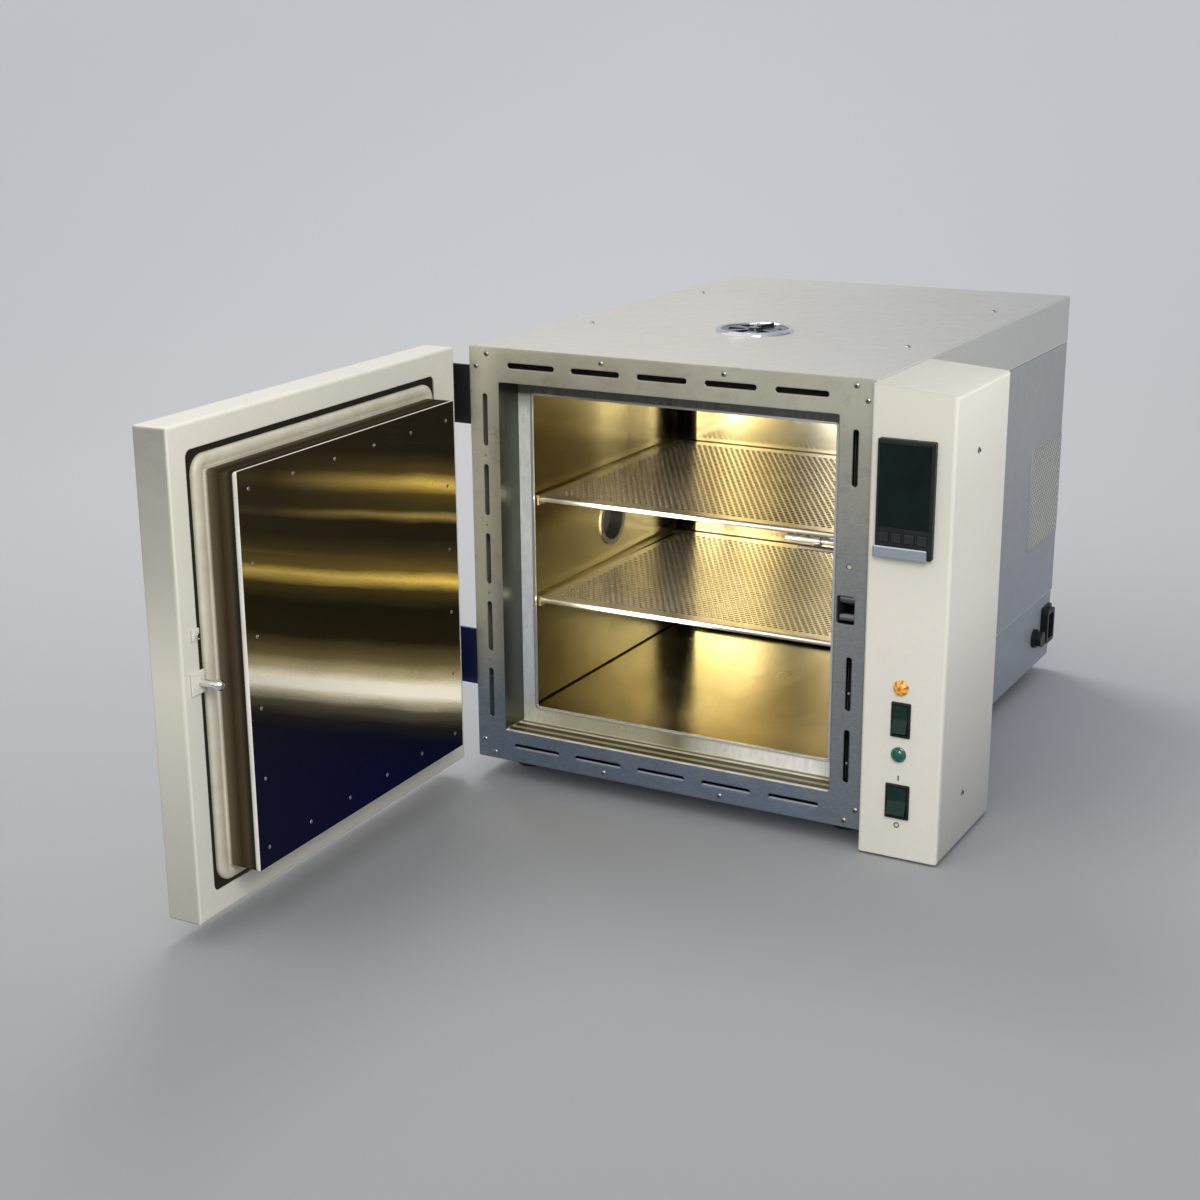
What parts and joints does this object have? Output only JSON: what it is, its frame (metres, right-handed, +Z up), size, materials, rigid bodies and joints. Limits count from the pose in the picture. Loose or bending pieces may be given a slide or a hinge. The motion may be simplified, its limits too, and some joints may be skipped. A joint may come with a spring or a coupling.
{
  "type": "bench drying oven",
  "caption": "Bench-top laboratory drying oven with a hinged insulated door, perforated sliding shelves, rotary top vent and a side control column.",
  "frame": {"origin": "bottom centre of the whole outline with the door open at rest, on the bench plane under the rubber feet", "axes": "+Z up, +Y from the door opening towards the back, +X towards the control column"},
  "size_m": [0.5057, 0.9571, 0.4073],
  "materials": {
    "stainless": "brushed",
    "chamber_steel": "polished",
    "shelf_steel": "polished",
    "cream_paint": "fine textured powder coat",
    "zinc_steel": "galvanised",
    "chrome": "polished",
    "black_plastic": "satin",
    "key_plastic": "satin",
    "window_plastic": "gloss",
    "plate_metal": "satin anodised",
    "rocker_plastic": "gloss",
    "amber_lens": "translucent",
    "green_lens": "translucent",
    "black_metal": "satin",
    "rubber": "matte",
    "silicone": "satin",
    "red_silicone": "matte",
    "mineral_wool": "fibrous",
    "motor_metal": "painted",
    "heater_sheath": "oxidised",
    "board": "satin",
    "plug_steel": "polished",
    "red_plastic": "satin"
  },
  "bodies": {
    "cabinet": {"front_frame": "stainless", "frame_screws": "chrome", "chamber_rim": "stainless", "chamber_liner": "chamber_steel", "rear_baffle": "chamber_steel", "insulation": "mineral_wool", "base_tray": "cream_paint", "side_panel_left": "cream_paint", "side_panel_right": "cream_paint", "rear_panel": "cream_paint", "top_lid": "cream_paint", "case_screws": "zinc_steel", "rubber_feet": "rubber", "motor_plate": "zinc_steel", "fan_motor": "motor_metal", "heating_element": "heater_sheath", "shelf_runners": "shelf_steel", "control_sensor": "stainless", "safety_sensor": "heater_sheath", "port_tube": "stainless", "port_bung": "red_silicone", "vent_collar": "chrome", "control_column": "cream_paint", "controller_bezel": "black_plastic", "controller_case": "black_plastic", "controller_window": "window_plastic", "controller_plate": "plate_metal", "amber_lamp": "amber_lens", "green_lamp": "green_lens", "fan_switch_frame": "black_plastic", "mains_switch_frame": "black_plastic", "relay_board": "board", "mains_inlet": "black_plastic", "fuse_holder": "black_plastic", "catch_housing": "black_metal", "door_switch": "black_plastic", "hinge_brackets": "black_metal", "hinge_pins": "zinc_steel"},
    "door": {"hinge_leaves": "black_metal", "door_shell": "cream_paint", "door_insulation": "mineral_wool", "door_plug": "plug_steel", "door_seal": "silicone", "door_striker": "chrome", "door_handle": "black_plastic", "door_rivets": "stainless"},
    "upper_shelf": {"shelf_upper": "shelf_steel"},
    "lower_shelf": {"shelf_lower": "shelf_steel"},
    "fan": {"fan_impeller": "stainless", "fan_shaft": "stainless"},
    "damper": {"vent_damper": "black_metal"},
    "fan_switch": {"fan_rocker": "rocker_plastic"},
    "mains_switch": {"mains_rocker": "rocker_plastic"},
    "page_button": {"key_page": "key_plastic"},
    "scroll_button": {"key_scroll": "key_plastic"},
    "down_button": {"key_down": "key_plastic"},
    "up_button": {"key_up": "key_plastic"},
    "upper_roller": {"catch_roller_upper": "chrome"},
    "lower_roller": {"catch_roller_lower": "chrome"},
    "plunger": {"switch_plunger": "red_plastic"}
  },
  "joints": [
    {"name": "door_hinge", "type": "hinge", "parent": "cabinet", "child": "door", "pos_m": [-0.21634, -0.082, 0.2095], "axis": [0, 0, 1], "range_deg": [-30, 87.9]},
    {"name": "upper_shelf_slide", "type": "slide", "parent": "cabinet", "child": "upper_shelf", "axis": [0, 1, 0], "range_m": [-0.22, 0]},
    {"name": "lower_shelf_slide", "type": "slide", "parent": "cabinet", "child": "lower_shelf", "axis": [0, 1, 0], "range_m": [-0.22, 0]},
    {"name": "fan_spin", "type": "hinge", "parent": "cabinet", "child": "fan", "pos_m": [-0.00974, 0.2676, 0.2123], "axis": [0, 1, 0], "continuous": true},
    {"name": "damper_turn", "type": "hinge", "parent": "cabinet", "child": "damper", "pos_m": [-0.00974, 0.1191, 0.4029], "axis": [0, 0, 1], "range_deg": [-14, 16]},
    {"name": "fan_switch_rock", "type": "hinge", "parent": "cabinet", "child": "fan_switch", "pos_m": [0.21516, -0.0724, 0.1247], "axis": [1, 0, 0], "range_deg": [0, 18]},
    {"name": "mains_switch_rock", "type": "hinge", "parent": "cabinet", "child": "mains_switch", "pos_m": [0.21466, -0.0724, 0.0528], "axis": [1, 0, 0], "range_deg": [0, 18]},
    {"name": "page_press", "type": "slide", "parent": "cabinet", "child": "page_button", "axis": [0, 1, 0], "range_m": [0, 0.0008], "stiffness_N_per_m": 800},
    {"name": "scroll_press", "type": "slide", "parent": "cabinet", "child": "scroll_button", "axis": [0, 1, 0], "range_m": [0, 0.0008], "stiffness_N_per_m": 800},
    {"name": "down_press", "type": "slide", "parent": "cabinet", "child": "down_button", "axis": [0, 1, 0], "range_m": [0, 0.0008], "stiffness_N_per_m": 800},
    {"name": "up_press", "type": "slide", "parent": "cabinet", "child": "up_button", "axis": [0, 1, 0], "range_m": [0, 0.0008], "stiffness_N_per_m": 800},
    {"name": "upper_roller_spread", "type": "slide", "parent": "cabinet", "child": "upper_roller", "axis": [0, 0, 1], "range_m": [0, 0.0015], "stiffness_N_per_m": 4000},
    {"name": "lower_roller_spread", "type": "slide", "parent": "cabinet", "child": "lower_roller", "axis": [0, 0, -1], "range_m": [0, 0.0015], "stiffness_N_per_m": 4000},
    {"name": "plunger_press", "type": "slide", "parent": "cabinet", "child": "plunger", "axis": [0, 1, 0], "range_m": [0, 0.002], "stiffness_N_per_m": 300}
  ]
}
